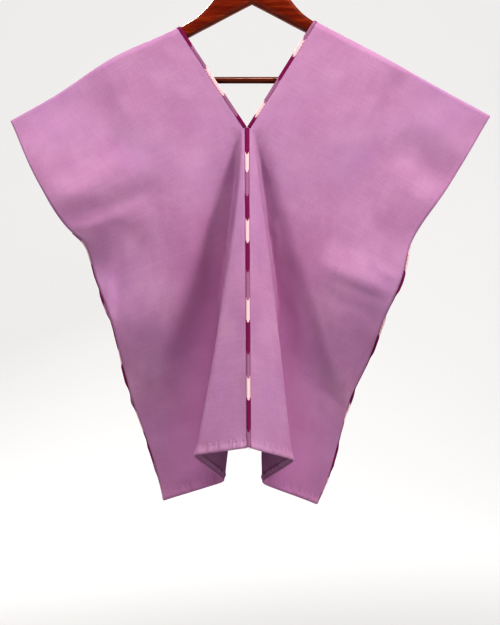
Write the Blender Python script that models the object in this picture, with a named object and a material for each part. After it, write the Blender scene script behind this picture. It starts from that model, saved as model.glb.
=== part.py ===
"""Sleeveless V-neck blouse of two folded cloths on a wooden hanger. Metres, +Z up, front faces -Y."""
import math

import bpy
import numpy as np

MM = 0.001

# Cloth sizes in millimetres
WIDTH = 290.0        # one cloth from the seam edge to the sleeve edge
LENGTH = 650.0       # shoulder fold to hem
NECK = 180.0         # neck edge, shoulder fold to V point
ARMHOLE = 218.0      # sleeve edge, shoulder fold to underarm
WALL = 1.5
HEM_WALL = 2.5       # the turned hem is two layers
HEM_DEPTH = 10.0
GAP = 0.3
TAPE = 7.4           # woven tape over each seam
TAPE_WALL = 1.4
SEAM_HALF = 2.6      # half distance between front and back cloth at a side seam

# Rolls of the cloth over the hanger arm
ROLL_NECK = 10.5
ROLL_TIP = 9.0
ROLL_SLEEVE = 4.5
ARM_END = 142.0      # distance along the shoulder fold where the arm ends
EDGE_REACH = 150.0   # how far from the edge its waves are felt

# How far from the seam each fold line starts at the V point
CREST_START = 8.0
FOLD_START = 26.0
RETURN_START = 6.0   # width of the crest's far side before its return begins

# Corners of each cloth: neck point and sleeve tip share front and back
CORNERS = {
    "left": {"neck": (-105.1, 0.0, -145.3), "lift_at": 115.0, "lift": 9.0},
    "right": {"neck": (90.5, 0.0, -136.5), "lift_at": 115.0, "lift": 1.5},
}

# Sleeve edge and side seam: distance from the shoulder fold, x, y, z, half opening front to back
OUTER = {
    "left": (
        (0.0, -351.9, 0.0, -282.6, 0.0),
        (112.0, -308.2, -6.0, -373.5, 13.0),
        (ARMHOLE, -259.6, -14.0, -446.9, SEAM_HALF - ROLL_SLEEVE),
        (240.0, -247.2, -10.0, -456.4, SEAM_HALF - ROLL_SLEEVE),
        (305.0, -228.3, 8.0, -513.8, SEAM_HALF - ROLL_SLEEVE),
        (370.0, -206.0, 3.0, -573.2, SEAM_HALF - ROLL_SLEEVE),
        (432.0, -191.7, 13.0, -632.0, SEAM_HALF - ROLL_SLEEVE),
        (495.0, -177.0, 22.0, -690.7, SEAM_HALF - ROLL_SLEEVE),
        (560.0, -155.7, 25.0, -750.4, SEAM_HALF - ROLL_SLEEVE),
        (624.0, -137.1, 23.0, -810.5, SEAM_HALF - ROLL_SLEEVE),
        (LENGTH, -130.3, 21.0, -839.3, SEAM_HALF - ROLL_SLEEVE),
    ),
    "right": (
        (0.0, 347.5, 0.0, -275.3, 0.0),
        (118.0, 285.8, 4.0, -378.7, 8.0),
        (ARMHOLE, 229.8, -6.0, -464.4, SEAM_HALF - ROLL_SLEEVE),
        (272.0, 216.0, -11.0, -514.7, SEAM_HALF - ROLL_SLEEVE),
        (340.0, 190.5, -6.0, -573.2, SEAM_HALF - ROLL_SLEEVE),
        (406.0, 170.9, 12.0, -632.3, SEAM_HALF - ROLL_SLEEVE),
        (473.0, 145.3, 25.0, -691.0, SEAM_HALF - ROLL_SLEEVE),
        (538.0, 129.4, 31.0, -750.4, SEAM_HALF - ROLL_SLEEVE),
        (604.0, 111.6, 32.0, -812.6, SEAM_HALF - ROLL_SLEEVE),
        (LENGTH, 96.4, 31.0, -846.4, SEAM_HALF - ROLL_SLEEVE),
    ),
}

# Flute of each face: V point, seam end, crest and valley at the hem with their distance from the seam,
# the power by which the crest swings out from the seam, where the return to the valley begins,
# the side fold: where it meets the side seam and how far it bows in x and y on the way,
# and how far the cloth steps straight back beside the crest
FLUTE = {
    ("left", 1): {"point": (-7.2, -20.0, -294.9), "seam": (-4.2, -155.0, -738.2),
                  "crest": (-81.7, -105.0, -755.6), "crest_at": 95.0,
                  "valley": (-37.0, -38.0, -801.0), "valley_at": 184.0, "flare": 1.5, "return": 0.50,
                  "fold_end": 560.0, "fold_bow": (-4.0, -6.0), "step": 125.0},
    ("right", 1): {"point": (-7.2, -20.0, -294.9), "seam": (-4.2, -155.0, -738.2),
                   "crest": (60.3, -80.0, -766.0), "crest_at": 105.0,
                   "valley": (12.6, -28.0, -805.0), "valley_at": 185.0, "flare": 1.0, "return": 0.50,
                   "fold_end": 490.0, "fold_bow": (6.0, -4.0), "step": 90.0},
    ("left", -1): {"point": (-7.2, 18.0, -293.0), "seam": (-6.0, 60.0, -757.0),
                   "crest": (-98.0, 62.0, -766.0), "crest_at": 95.0,
                   "valley": (-44.0, 19.0, -797.0), "valley_at": 182.0, "flare": 1.1, "return": 0.35,
                   "fold_end": 540.0, "fold_bow": (0.0, 42.0), "step": 0.0},
    ("right", -1): {"point": (-7.2, 18.0, -293.0), "seam": (-6.0, 60.0, -757.0),
                    "crest": (86.0, 64.0, -768.0), "crest_at": 95.0,
                    "valley": (20.0, 22.0, -801.0), "valley_at": 188.0, "flare": 1.2, "return": 0.35,
                    "fold_end": 520.0, "fold_bow": (0.0, 49.0), "step": 0.0},
}

# Soft folds: start and end as (distance from seam edge, distance from shoulder fold), half width, height
SOFT_FOLDS = {
    ("left", 1): (
        (60.0, 140.0, 300.0, 470.0, 60.0, 6.0),
        (190.0, 250.0, 310.0, 300.0, 52.0, -6.0),
        (120.0, 168.0, 310.0, 158.0, 50.0, 8.0),
    ),
    ("right", 1): (
        (150.0, 318.0, 305.0, 296.0, 46.0, 6.0),
        (180.0, 100.0, 310.0, 116.0, 48.0, -5.0),
    ),
    ("left", -1): (
        (60.0, 150.0, 280.0, 500.0, 60.0, 8.0),
        (150.0, 120.0, 310.0, 150.0, 50.0, -4.0),
    ),
    ("right", -1): (
        (70.0, 140.0, 290.0, 480.0, 60.0, 7.0),
        (160.0, 150.0, 310.0, 135.0, 50.0, -4.0),
    ),
}

# Rows of every cloth piece, as distances from the shoulder fold
ROWS = [0.0, 3.5, 7.0, 11.0, 16.0, 24.0, 45.0, 75.0, 105.0, 135.0, 158.0, 172.0, NECK, 190.0, 203.0, ARMHOLE, 236.0]
ROWS += list(np.linspace(260.0, LENGTH - HEM_DEPTH - 8.0, 11))
ROWS += [LENGTH - HEM_DEPTH - 0.8, LENGTH - HEM_DEPTH, LENGTH]

# Hanger: centre of the yoke as distance from the middle, top, bottom, half thickness
YOKE = (
    (0.0, -57.0, -112.5, 9.0),
    (14.0, -58.5, -119.7, 9.0),
    (28.0, -68.0, -127.0, 8.9),
    (42.0, -85.0, -134.3, 8.8),
    (56.0, -106.0, -141.8, 8.6),
    (72.0, -124.8, -150.0, 8.3),
)
# Arms under the cloth: distance along the shoulder fold, depth, half thickness
ARM = (
    (0.0, 20.5, 7.8),
    (25.0, 20.5, 7.8),
    (50.0, 20.5, 7.7),
    (75.0, 20.0, 7.5),
    (100.0, 20.0, 7.2),
    (120.0, 20.0, 6.9),
    (134.0, 19.5, 6.5),
    (ARM_END, 16.0, 4.6),
)
YOKE_CORNERS = 12
BAR_RADIUS = 4.7
BAR_Z = -223.0
BAR_CORNERS = 14
HOOK_WIRE = 1.8
HOOK_RADIUS = 19.0


def spline(table, column, v):
    """Smooth curve through one column of a table whose first column is the place."""
    at = np.array([row[0] for row in table])
    value = np.array([row[column] for row in table])
    slope = np.gradient(value, at)
    i = np.clip(np.searchsorted(at, v, side="right") - 1, 0, len(at) - 2)
    step = at[i + 1] - at[i]
    t = np.clip((v - at[i]) / step, 0.0, 1.0)
    return ((2 * t**3 - 3 * t**2 + 1) * value[i] + (t**3 - 2 * t**2 + t) * step * slope[i]
            + (3 * t**2 - 2 * t**3) * value[i + 1] + (t**3 - t**2) * step * slope[i + 1])


def mix(a, b, t):
    return a + (b - a) * t[..., None]


def smooth(t):
    t = np.clip(t, 0.0, 1.0)
    return t * t * (3.0 - 2.0 * t)


def roll_radius(u):
    """Radius of the fold over the arm, smaller on the free sleeve end."""
    over_arm = ROLL_NECK + (ROLL_TIP - ROLL_NECK) * np.clip(u / ARM_END, 0.0, 1.0)
    return over_arm + (ROLL_SLEEVE - over_arm) * smooth((u - ARM_END + 10.0) / 40.0)


def fold_places(side, face, v):
    """Where the crest, valley and side fold lie across the cloth at a distance from the shoulder fold."""
    flute = FLUTE[side, face]
    t = np.clip((v - NECK) / (LENGTH - NECK), 0.0, 1.0)
    swing = t ** flute["flare"]
    crest = CREST_START + (flute["crest_at"] - CREST_START) * swing
    back = smooth((t - flute["return"]) / (1.0 - flute["return"])) ** 0.8
    step = flute["step"] * t ** 0.75
    valley = crest + (RETURN_START + step) * (1.0 - back) + (flute["valley_at"] - flute["crest_at"]) * back
    run = np.clip((v - NECK) / (flute["fold_end"] - NECK), 0.0, 1.0)
    fold = np.maximum(FOLD_START + (WIDTH - FOLD_START) * run, valley + 4.0)
    return crest, valley, fold, swing, back, run


def flat_cloth(side, face, u, v):
    """Cloth with straight facets between its fold lines, u from the seam edge, v from the fold."""
    flute, corner = FLUTE[side, face], CORNERS[side]
    radius = roll_radius(u)
    turn = np.minimum(v / radius, math.pi / 2)
    slack = radius * (math.pi / 2 - 1.0)
    drop = radius * (1.0 - np.cos(turn)) + np.maximum(v - radius * math.pi / 2, 0.0)
    out = radius * np.sin(turn)

    place = drop + slack * np.clip(v / ARMHOLE, 0.0, 1.0)
    outer = np.stack([spline(OUTER[side], 1, place), -face * out, spline(OUTER[side], 3, place)], axis=-1)
    wave = spline(OUTER[side], 2, place) - face * spline(OUTER[side], 4, place) * smooth(v / 60.0)
    neck, point, seam = (np.array(p) for p in (corner["neck"], flute["point"], flute["seam"]))
    down = np.clip(drop / (NECK - slack), 0.0, 1.0)
    t = np.clip((v - NECK) / (LENGTH - NECK), 0.0, 1.0)
    inner = mix(neck, point, down)
    inner[..., 1] = -face * out * (1.0 - down) + point[1] * down
    inner = np.where((t > 0.0)[..., None], mix(point, seam, t), inner)

    crest_u, valley_u, fold_u, swing, back, run = fold_places(side, face, v)
    edge = np.array([spline(OUTER[side], 1, NECK), -face * ROLL_SLEEVE, spline(OUTER[side], 3, NECK)])
    start = np.where((t > 0.0)[..., None], (edge - point) / WIDTH, (outer - inner) / WIDTH)
    crest = inner + mix(start * CREST_START, np.array(flute["crest"]) - seam, swing)
    side_step = start * RETURN_START + (flute["step"] * t ** 0.75)[..., None] * np.array([0.0, 1.0, 0.0])
    valley = crest + mix(side_step, np.array(flute["valley"]) - np.array(flute["crest"]), back)
    end = np.array([spline(OUTER[side], 1, flute["fold_end"]), -face * ROLL_SLEEVE,
                    spline(OUTER[side], 3, flute["fold_end"])])
    fold = np.where((t > 0.0)[..., None], mix(point + start * FOLD_START, end, run), inner + start * FOLD_START)
    fold = np.where((run >= 1.0)[..., None], outer, fold)
    fold[..., :2] += (4.0 * run * (1.0 - run))[..., None] * np.array(flute["fold_bow"])

    first = mix(inner, crest, u / crest_u)
    second = mix(crest, valley, (u - crest_u) / (valley_u - crest_u))
    third = mix(valley, fold, (u - valley_u) / (fold_u - valley_u))
    fourth = mix(fold, outer, (u - fold_u) / np.maximum(WIDTH - fold_u, 0.001))
    beyond = np.where((u < fold_u)[..., None], third, fourth)
    reach = np.minimum(EDGE_REACH, WIDTH - valley_u)
    beyond[..., 1] += wave * smooth((u - WIDTH + reach) / reach)
    cloth = np.where((u < crest_u)[..., None], first, np.where((u < valley_u)[..., None], second, beyond))
    lift = corner["lift"] * smooth(1.0 - np.abs(u - corner["lift_at"]) / corner["lift_at"])
    cloth[..., 2] += lift * smooth(1.0 - v / 200.0)
    return cloth


def relief(side, face, u, v):
    """Height of the soft folds at a place on the cloth."""
    height = np.zeros_like(u)
    for u0, v0, u1, v1, half, rise in SOFT_FOLDS[side, face]:
        along = np.array([u1 - u0, v1 - v0])
        length = np.hypot(*along)
        s = ((u - u0) * along[0] + (v - v0) * along[1]) / length**2
        across = np.abs((u - u0) * along[1] - (v - v0) * along[0]) / length
        ends = smooth(s / 0.3) * smooth((1.0 - s) / 0.3)
        height += rise * smooth(1.0 - across / half) * ends
    return height


def cloth_point(side, face, u, v):
    """Middle surface of the cloth with its folds rounded."""
    u, v = np.broadcast_arrays(np.asarray(u, float), np.asarray(v, float))
    t = np.clip((v - NECK) / (LENGTH - NECK), 0.0, 1.0)
    valley = fold_places(side, face, v)[1]
    soft = 3.0 + 7.0 * t + 14.0 * smooth((u - valley - 8.0) / 40.0) * smooth((v - 110.0) / 70.0)
    across = np.minimum(soft, np.minimum(u, WIDTH - u))
    along = 16.0 * smooth(u / 30.0) * smooth(1.0 - np.abs(v - NECK) / 90.0)
    total, weights = 0.0, 0.0
    for i in (-1.0, -0.5, 0.0, 0.5, 1.0):
        for j in (-1.0, -0.5, 0.0, 0.5, 1.0):
            weight = (1.0 if abs(i) < 1.0 else 0.5) * (1.0 if abs(j) < 1.0 else 0.5)
            total = total + weight * flat_cloth(side, face, u + i * across, np.abs(v + j * along))
            weights += weight
    point = total / weights
    point[..., 1] -= face * relief(side, face, u, v)
    return point


def outward(side, face, u, v):
    """Unit normal of the cloth, away from the body."""
    step = 0.4
    du = cloth_point(side, face, np.minimum(u + step, WIDTH), v) - cloth_point(side, face, np.maximum(u - step, 0.0), v)
    low, high = np.maximum(v - step, 0.0), np.minimum(v + step, LENGTH)
    dv = cloth_point(side, face, u, high) - cloth_point(side, face, u, low)
    normal = np.cross(du, dv) * face * (1.0 if side == "left" else -1.0)
    at_fold = v < step
    if np.any(at_fold):
        flat = du[at_fold]
        up = np.stack([-flat[:, 2], np.zeros(len(flat)), flat[:, 0]], axis=-1)
        normal[at_fold] = up * np.sign(up[:, 2:3])
    return normal / np.linalg.norm(normal, axis=-1, keepdims=True)


def sheet_rows(side, us, vs):
    """Points and normals over the shoulder: vs below zero is the back, above zero the front."""
    points, normals = [], []
    for v, row in zip(vs, us):
        face = 1 if v >= 0.0 else -1
        u = np.asarray(row, float)
        where = np.full_like(u, abs(v))
        points.append(cloth_point(side, face, u, where))
        normals.append(outward(side, face, u, where))
    return np.array(points), np.array(normals)


def closed_sheet(name, points, normals, walls, material):
    """Solid wall through a grid of points, walls is the thickness at each row."""
    rows, cols = points.shape[:2]
    half = np.asarray(walls)[:, None, None] / 2.0
    sides = [points + normals * half, points - normals * half]
    verts = np.concatenate([s.reshape(-1, 3) for s in sides]) * MM
    under = rows * cols
    faces = []
    for r in range(rows - 1):
        for c in range(cols - 1):
            a, b = r * cols + c, r * cols + c + 1
            d, e = a + cols, b + cols
            faces.append((a, b, e, d))
            faces.append((under + a, under + d, under + e, under + b))
    rim = [c for c in range(cols)] + [r * cols + cols - 1 for r in range(1, rows)]
    rim += [(rows - 1) * cols + c for c in range(cols - 2, -1, -1)] + [r * cols for r in range(rows - 2, 0, -1)]
    for a, b in zip(rim, rim[1:] + rim[:1]):
        faces.append((b, a, under + a, under + b))
    return add_mesh(name, verts, faces, material)


def add_mesh(name, verts, faces, material):
    """Mesh object with its faces turned outward."""
    mesh = bpy.data.meshes.new(name)
    mesh.from_pydata([tuple(v) for v in verts], [], faces)
    mesh.update()
    volume = 0.0
    for poly in mesh.polygons:
        corners = [mesh.vertices[i].co for i in poly.vertices]
        for b, c in zip(corners[1:], corners[2:]):
            volume += corners[0].dot(b.cross(c))
    if volume < 0.0:
        mesh.flip_normals()
    obj = bpy.data.objects.new(name, mesh)
    parts.objects.link(obj)
    obj.data.materials.append(material)
    return obj


def paint(name, color, roughness, metallic=0.0):
    material = bpy.data.materials.new(name)
    material.use_nodes = True
    shader = material.node_tree.nodes["Principled BSDF"]
    shader.inputs["Base Color"].default_value = (*color, 1.0)
    shader.inputs["Roughness"].default_value = roughness
    shader.inputs["Metallic"].default_value = metallic
    return material


def row_places(side, face, v):
    """Distances from the seam edge where a row of the cloth has its points."""
    t = min(max((v - NECK) / (LENGTH - NECK), 0.0), 1.0)
    crest, valley, fold = (float(place) for place in fold_places(side, face, v)[:3])
    start = TAPE / 2 + GAP
    soft = min(1.5 + 6.5 * t, (valley - crest) * 0.4)
    places = [start, start + (crest - soft - start) * 0.5]
    places += [crest + soft * k for k in (-1.0, -0.45, 0.0, 0.45, 1.0)]
    places += [crest + (valley - crest) * 0.5]
    places += [valley + soft * k for k in (-1.0, 0.0, 1.0)]
    last = valley + soft
    fold = min(max(fold, last + 8.0 + 72.0 * (1.0 - t / 0.02)), WIDTH - 60.0)
    places += [last + (fold - last) * k / 5.0 for k in range(1, 6)]
    places += [fold + (WIDTH - fold) * k / 8.0 for k in range(1, 9)]
    return places


def make_panel(side):
    """One cloth, from the front hem over the shoulder to the back hem."""
    vs = [-v for v in reversed(ROWS[1:])] + ROWS
    us = [row_places(side, 1 if v >= 0.0 else -1, abs(v)) for v in vs]
    points, normals = sheet_rows(side, us, vs)
    walls = [HEM_WALL if abs(v) >= LENGTH - HEM_DEPTH else WALL for v in vs]
    closed_sheet(f"panel_{side}", points, normals, walls, cloth_paint)


def make_neck_band(side):
    """Tape folded along the neck edge, over the shoulder."""
    tall = [v for v in ROWS if v < NECK] + [NECK - GAP]
    vs = [-v for v in reversed(tall[1:])] + tall
    us = [(GAP / 2, TAPE / 2)] * len(vs)
    points, normals = sheet_rows(side, us, vs)
    closed_sheet(f"neck_band_{side}", points, normals, [TAPE_WALL] * len(vs), tape_paint)


def make_centre_tape(name, face):
    """Tape over the centre seam, from the V point to the hem."""
    vs = np.array([NECK + GAP] + [v for v in ROWS if v > NECK])
    columns = []
    for side, u in (("left", TAPE / 2), ("left", 0.0), ("right", TAPE / 2)):
        where = np.full_like(vs, u)
        point, normal = cloth_point(side, face, where, vs), outward(side, face, where, vs)
        if u == 0.0:
            point = (point + cloth_point("right", face, where, vs)) / 2
            normal = normal + outward("right", face, where, vs)
            normal /= np.linalg.norm(normal, axis=-1, keepdims=True)
        columns.append((point, normal))
    points = np.stack([c[0] for c in columns], axis=1)
    normals = np.stack([c[1] for c in columns], axis=1)
    closed_sheet(name, points, normals, [TAPE_WALL] * len(vs), tape_paint)


def make_side_tape(side):
    """Tape round the side seam, from the front cloth to the back cloth."""
    vs = np.array([ARMHOLE + 1.0] + [v for v in ROWS if v > ARMHOLE])
    edge = {face: cloth_point(side, face, np.full_like(vs, WIDTH), vs) for face in (1, -1)}
    inside = {face: cloth_point(side, face, np.full_like(vs, WIDTH - 6.0), vs) for face in (1, -1)}
    middle = (edge[1] + edge[-1]) / 2
    away = middle - (inside[1] + inside[-1]) / 2
    away /= np.linalg.norm(away, axis=-1, keepdims=True)
    across = (edge[1] - edge[-1]) / 2
    points, normals = [], []
    for angle in np.radians((0.0, 45.0, 90.0, 135.0, 180.0)):
        spoke = across * math.cos(angle) + away * math.sin(angle) * SEAM_HALF
        points.append(middle + away * 3 * GAP + spoke)
        normals.append(spoke / np.linalg.norm(spoke, axis=-1, keepdims=True))
    points, normals = np.stack(points, axis=1), np.stack(normals, axis=1)
    closed_sheet(f"side_tape_{side}", points, normals, [TAPE_WALL] * len(vs), tape_paint)


def arm_stations(side):
    """Yoke sections under the shoulder fold of one cloth."""
    rows = []
    for u, depth, half in ARM:
        fold = cloth_point(side, 1, np.array([u]), np.array([0.0]))[0]
        top = fold[2] - WALL / 2 - 4 * GAP
        rows.append((fold[0], top, top - depth, half))
    return rows


def make_yoke():
    """Wooden arms in one piece, lofted from tip to tip."""
    left, right = arm_stations("left"), arm_stations("right")
    stations = left[::-1] + [(-d, top, low, half) for d, top, low, half in YOKE[:0:-1]] + list(YOKE) + right
    verts, faces = [], []
    for x, top, low, half in stations:
        middle, tall = (top + low) / 2, (top - low) / 2
        for k in range(YOKE_CORNERS):
            angle = 2 * math.pi * (k + 0.5) / YOKE_CORNERS
            c, s = math.cos(angle), math.sin(angle)
            y = half * math.copysign(abs(c) ** 0.75, c)
            verts.append((x, y, middle + tall * math.copysign(abs(s) ** 0.75, s)))
    n = YOKE_CORNERS
    for r in range(len(stations) - 1):
        for k in range(n):
            a, b = r * n + k, r * n + (k + 1) % n
            faces.append((a, b, b + n, a + n))
    faces.append(tuple(range(n - 1, -1, -1)))
    faces.append(tuple((len(stations) - 1) * n + k for k in range(n)))
    add_mesh("hanger_yoke", np.array(verts) * MM, faces, wood_paint)


def make_bar():
    """Trouser bar whose ends follow the underside of the arms."""
    rings, n = [], BAR_CORNERS
    for side, sign in (("left", -1.0), ("right", 1.0)):
        stations = arm_stations(side)[:-1]
        ring = []
        for k in range(n):
            angle = 2 * math.pi * k / n
            y, z = BAR_RADIUS * math.cos(angle), BAR_Z + BAR_RADIUS * math.sin(angle)
            under = sorted((low - GAP, abs(x)) for x, top, low, half in stations)
            reach = np.interp(z, [row[0] for row in under], [row[1] for row in under])
            ring.append((sign * (reach - 2 * GAP), y, z))
        rings += ring
    faces = [(k, (k + 1) % n, n + (k + 1) % n, n + k) for k in range(n)]
    faces += [tuple(range(n - 1, -1, -1)), tuple(range(n, 2 * n))]
    add_mesh("trouser_bar", np.array(rings) * MM, faces, wood_paint)


def make_rod(name, points, radius, material, corners=4):
    """Round rod along a line of points."""
    curve = bpy.data.curves.new(name, "CURVE")
    curve.dimensions = "3D"
    curve.bevel_depth = radius * MM
    curve.bevel_resolution = corners
    curve.use_fill_caps = True
    line = curve.splines.new("POLY")
    line.points.add(len(points) - 1)
    for point, place in zip(line.points, points):
        point.co = (place[0] * MM, place[1] * MM, place[2] * MM, 1.0)
    obj = bpy.data.objects.new(name, curve)
    parts.objects.link(obj)
    obj.data.materials.append(material)
    return obj


def make_hook():
    """Bent wire with its inner top at the origin."""
    centre = -HOOK_RADIUS
    ring = HOOK_RADIUS + HOOK_WIRE
    path = [(0.0, 0.0, YOKE[0][1] - 0.4), (0.0, 0.0, -50.0)]
    for k in range(1, 7):
        t = k / 6.0
        blend = t * t * (3 - 2 * t)
        path.append((ring * 0.86 * blend, 0.0, -50.0 + 21.0 * t))
    for k in range(1, 23):
        angle = math.radians(-24.0 + 11.0 * k)
        path.append((ring * math.cos(angle), 0.0, centre + ring * math.sin(angle)))
    make_rod("hanger_hook", path, HOOK_WIRE, metal_paint, 2)


for old in list(bpy.data.objects):
    bpy.data.objects.remove(old, do_unlink=True)
parts = bpy.data.collections.new("blouse_on_hanger")
bpy.context.scene.collection.children.link(parts)

cloth_paint = paint("lilac_cotton", (0.46, 0.20, 0.50), 0.9)
tape_paint = paint("woven_tape", (0.33, 0.05, 0.24), 0.85)
wood_paint = paint("dark_wood", (0.09, 0.03, 0.02), 0.35)
metal_paint = paint("hook_steel", (0.60, 0.60, 0.62), 0.3, 1.0)

for panel_side in ("left", "right"):
    make_panel(panel_side)
    make_neck_band(panel_side)
    make_side_tape(panel_side)
make_centre_tape("centre_tape_front", 1)
make_centre_tape("centre_tape_back", -1)
make_yoke()
make_bar()
make_hook()
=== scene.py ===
"""Looks of the lilac handwoven blouse on its wooden hanger. Metres, +Z up, front faces -Y."""

import math

import bpy
import numpy as np
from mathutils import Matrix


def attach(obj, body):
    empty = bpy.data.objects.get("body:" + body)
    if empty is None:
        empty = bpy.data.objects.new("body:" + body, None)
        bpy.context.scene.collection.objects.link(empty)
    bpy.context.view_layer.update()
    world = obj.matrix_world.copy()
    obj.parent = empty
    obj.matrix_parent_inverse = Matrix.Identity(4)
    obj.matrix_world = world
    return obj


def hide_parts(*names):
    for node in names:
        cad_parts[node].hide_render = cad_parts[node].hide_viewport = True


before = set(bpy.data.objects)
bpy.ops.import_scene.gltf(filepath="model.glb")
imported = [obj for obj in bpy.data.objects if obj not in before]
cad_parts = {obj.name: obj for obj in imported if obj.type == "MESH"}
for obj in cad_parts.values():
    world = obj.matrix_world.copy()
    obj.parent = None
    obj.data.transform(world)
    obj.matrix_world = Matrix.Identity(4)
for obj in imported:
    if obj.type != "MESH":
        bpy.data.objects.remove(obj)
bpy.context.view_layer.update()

MM = 0.001

# Sizes shared with the solids, in mm
WIDTH = 290.0
LENGTH = 650.0
NECK = 180.0
ARMHOLE = 218.0
WALL = 1.5
GAP = 0.3
TAPE = 7.4
SEAM_HALF = 2.6
ROLL_NECK = 10.5
ROLL_TIP = 9.0
ROLL_SLEEVE = 4.5
ARM_END = 142.0
EDGE_REACH = 150.0
CREST_START = 8.0
FOLD_START = 26.0
RETURN_START = 6.0
FOLDS_FROM = 110.0
TIP_LEAD = 10.0
TIP_BLEND = 40.0
# The side seam draws the two faces together, closer than the sleeve's fold
SEAM_SPREAD = SEAM_HALF - ROLL_SLEEVE
FACE_NAME = {1: "front", -1: "back"}

# The neck's corners, and how far the shoulder fold lifts over the arm and where
NECK_CORNER = {"left": (-105.1, 0.0, -145.3), "right": (90.5, 0.0, -136.5)}
LIFT = {"left": 9.0, "right": 1.5}
LIFT_AT = 115.0

# Outer edges: distance from the shoulder fold, x, y, z, and how far each face stands out past the fold's roll
OUTER = {
    "left": (
        (0.0, -351.9, 0.0, -282.6, 0.0),
        (112.0, -308.2, -6.0, -373.5, 13.0),
        (ARMHOLE, -259.6, -14.0, -446.9, SEAM_SPREAD),
        (240.0, -247.2, -10.0, -456.4, SEAM_SPREAD),
        (305.0, -228.3, 8.0, -513.8, SEAM_SPREAD),
        (370.0, -206.0, 3.0, -573.2, SEAM_SPREAD),
        (432.0, -191.7, 13.0, -632.0, SEAM_SPREAD),
        (495.0, -177.0, 22.0, -690.7, SEAM_SPREAD),
        (560.0, -155.7, 25.0, -750.4, SEAM_SPREAD),
        (624.0, -137.1, 23.0, -810.5, SEAM_SPREAD),
        (LENGTH, -130.3, 21.0, -839.3, SEAM_SPREAD),
    ),
    "right": (
        (0.0, 347.5, 0.0, -275.3, 0.0),
        (118.0, 285.8, 4.0, -378.7, 8.0),
        (ARMHOLE, 229.8, -6.0, -464.4, SEAM_SPREAD),
        (272.0, 216.0, -11.0, -514.7, SEAM_SPREAD),
        (340.0, 190.5, -6.0, -573.2, SEAM_SPREAD),
        (406.0, 170.9, 12.0, -632.3, SEAM_SPREAD),
        (473.0, 145.3, 25.0, -691.0, SEAM_SPREAD),
        (538.0, 129.4, 31.0, -750.4, SEAM_SPREAD),
        (604.0, 111.6, 32.0, -812.6, SEAM_SPREAD),
        (LENGTH, 96.4, 31.0, -846.4, SEAM_SPREAD),
    ),
}
# Where the neck's V ends and where the centre seam meets the hem, on the front (1) and the back (-1)
V_POINT = {1: (-7.2, -20.0, -294.9), -1: (-7.2, 18.0, -293.0)}
SEAM_END = {1: (-4.2, -155.0, -738.2), -1: (-6.0, 60.0, -757.0)}
# Flutes: crest and valley at the hem, their places across the cloth, and how the folds beside them run out
FLUTE = {
    ("left", 1): {"crest": (-81.7, -105.0, -755.6), "valley": (-37.0, -38.0, -801.0), "crest_at": 95.0,
                  "valley_at": 184.0, "flare": 1.5, "return": 0.50, "fold_end": 560.0,
                  "fold_bow": (-4.0, -6.0), "step": 125.0},
    ("right", 1): {"crest": (60.3, -80.0, -766.0), "valley": (12.6, -28.0, -805.0), "crest_at": 105.0,
                   "valley_at": 185.0, "flare": 1.0, "return": 0.50, "fold_end": 490.0,
                   "fold_bow": (6.0, -4.0), "step": 90.0},
    ("left", -1): {"crest": (-98.0, 62.0, -766.0), "valley": (-44.0, 19.0, -797.0), "crest_at": 95.0,
                   "valley_at": 182.0, "flare": 1.1, "return": 0.35, "fold_end": 540.0,
                   "fold_bow": (0.0, 42.0), "step": 0.0},
    ("right", -1): {"crest": (86.0, 64.0, -768.0), "valley": (20.0, 22.0, -801.0), "crest_at": 95.0,
                    "valley_at": 188.0, "flare": 1.2, "return": 0.35, "fold_end": 520.0,
                    "fold_bow": (0.0, 49.0), "step": 0.0},
}
# Soft folds of the solids: from (across, down) to (across, down), half width, rise
SOFT_FOLDS = {
    ("left", 1): ((60, 140, 300, 470, 60, 6), (190, 250, 310, 300, 52, -4.5), (120, 168, 310, 158, 50, 5.5)),
    ("right", 1): ((150, 318, 305, 296, 46, 6), (180, 100, 310, 116, 48, -5)),
    ("left", -1): ((60, 150, 280, 500, 60, 8), (150, 120, 310, 150, 50, -4)),
    ("right", -1): ((70, 140, 290, 480, 60, 7), (160, 150, 310, 135, 50, -4)),
}

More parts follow.
